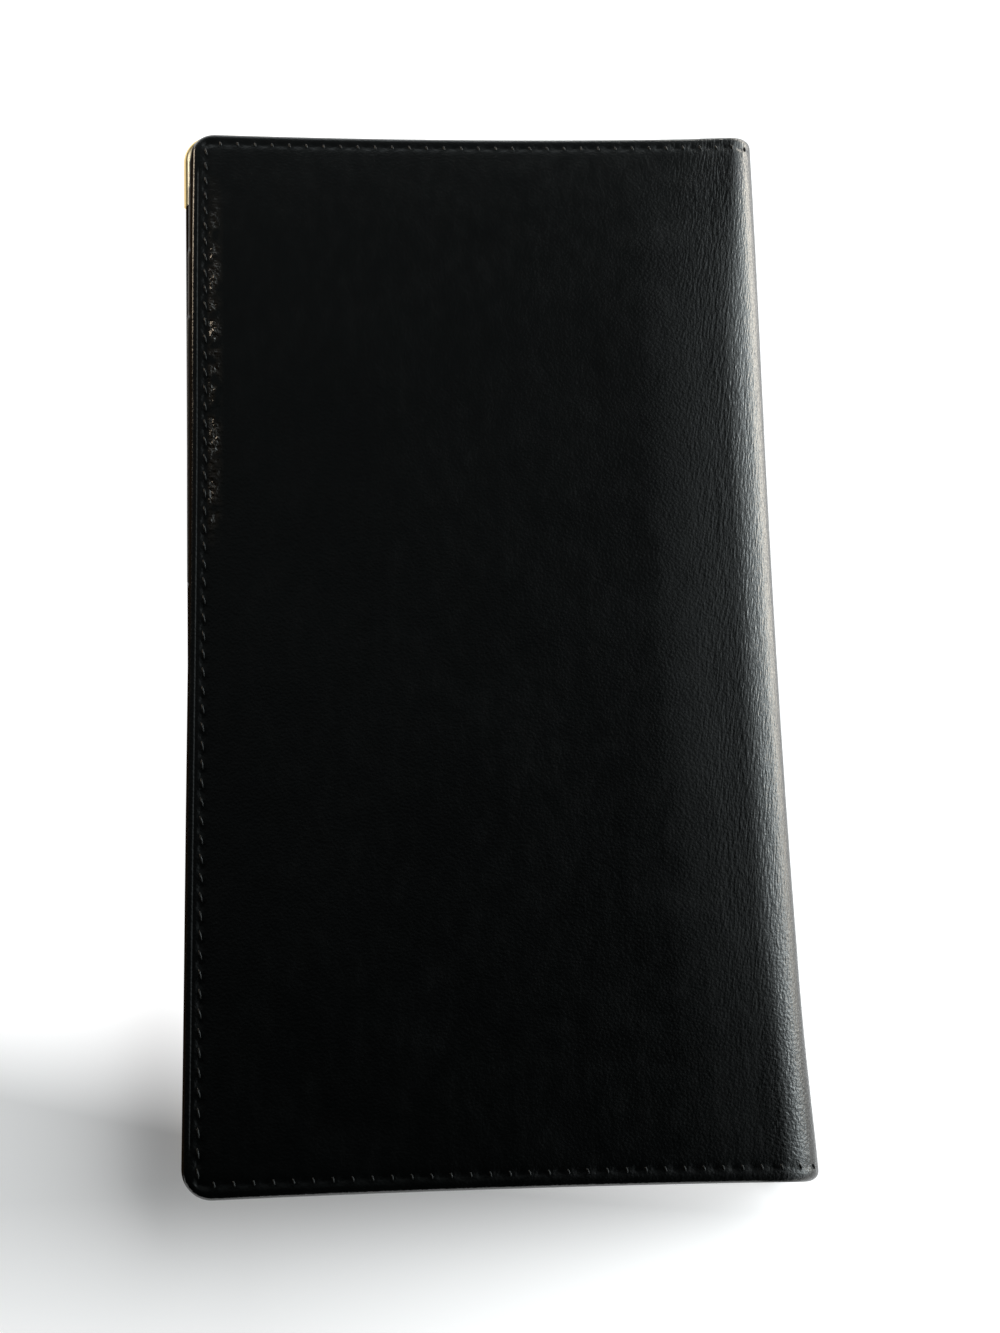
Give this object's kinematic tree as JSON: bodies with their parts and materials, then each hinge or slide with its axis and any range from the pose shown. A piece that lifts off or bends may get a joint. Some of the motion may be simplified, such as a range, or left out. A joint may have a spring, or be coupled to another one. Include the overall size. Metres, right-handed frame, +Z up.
{
  "type": "card organizer",
  "caption": "Tall book-style leather card organizer: stiffened leaves on a soft fold, stepped card slots, slip pockets and gilt corners.",
  "frame": {"origin": "centre of the closed organizer's footprint, on the surface that its back leaf lies on", "axes": "+X towards the fold, +Y towards the head edge, +Z up from the back leaf to the front leaf"},
  "size_m": [0.1018, 0.1826, 0.0135],
  "materials": {
    "cover_leather": "smooth black calf, satin, fine grain",
    "inner_leather": "black calf, matt",
    "lining_fabric": "black ribbed lining cloth",
    "bonded_board": "bonded leather board",
    "seam_thread": "waxed black thread",
    "gilt_metal": "polished gilt"
  },
  "bodies": {
    "back_leaf": {"back_cover": "cover_leather", "back_board": "bonded_board", "back_lining": "lining_fabric", "back_inner_panel": "inner_leather", "back_head_thread": "seam_thread", "back_edge_thread": "seam_thread", "back_tail_thread": "seam_thread", "back_tail_outer_welt": "inner_leather", "back_tail_gutter_welt": "inner_leather", "back_head_outer_welt": "inner_leather", "back_head_gutter_welt": "inner_leather", "back_tail_foot_welt": "inner_leather", "back_tail_pocket_1": "inner_leather", "back_tail_pocket_2": "inner_leather", "back_tail_pocket_3": "inner_leather", "back_head_foot_welt": "inner_leather", "back_head_pocket_1": "inner_leather", "back_head_pocket_2": "inner_leather", "back_head_pocket_3": "inner_leather", "back_tail_corner": "gilt_metal", "back_head_corner": "gilt_metal"},
    "spine": {"spine_cover": "cover_leather", "spine_lining": "lining_fabric"},
    "front_leaf": {"front_cover": "cover_leather", "front_board": "bonded_board", "front_lining": "lining_fabric", "front_inner_panel": "inner_leather", "front_head_thread": "seam_thread", "front_edge_thread": "seam_thread", "front_tail_thread": "seam_thread", "front_tail_outer_welt": "inner_leather", "front_tail_gutter_welt": "inner_leather", "front_head_outer_welt": "inner_leather", "front_head_gutter_welt": "inner_leather", "front_tail_foot_welt": "inner_leather", "front_tail_pocket_1": "inner_leather", "front_tail_pocket_2": "inner_leather", "front_tail_pocket_3": "inner_leather", "front_head_foot_welt": "inner_leather", "front_head_pocket_1": "inner_leather", "front_head_pocket_2": "inner_leather", "front_head_pocket_3": "inner_leather"}
  },
  "joints": [
    {"name": "back_fold", "type": "hinge", "parent": "back_leaf", "child": "spine", "pos_m": [0.0492, 0, 0.0017], "axis": [0, 1, 0], "range_deg": [0, 90]},
    {"name": "front_fold", "type": "hinge", "parent": "spine", "child": "front_leaf", "pos_m": [0.0492, 0, 0.0118], "axis": [0, 1, 0], "range_deg": [0, 90]}
  ],
  "couplings": [
    {"joint": "front_fold", "follows": "back_fold", "ratio": 1}
  ]
}
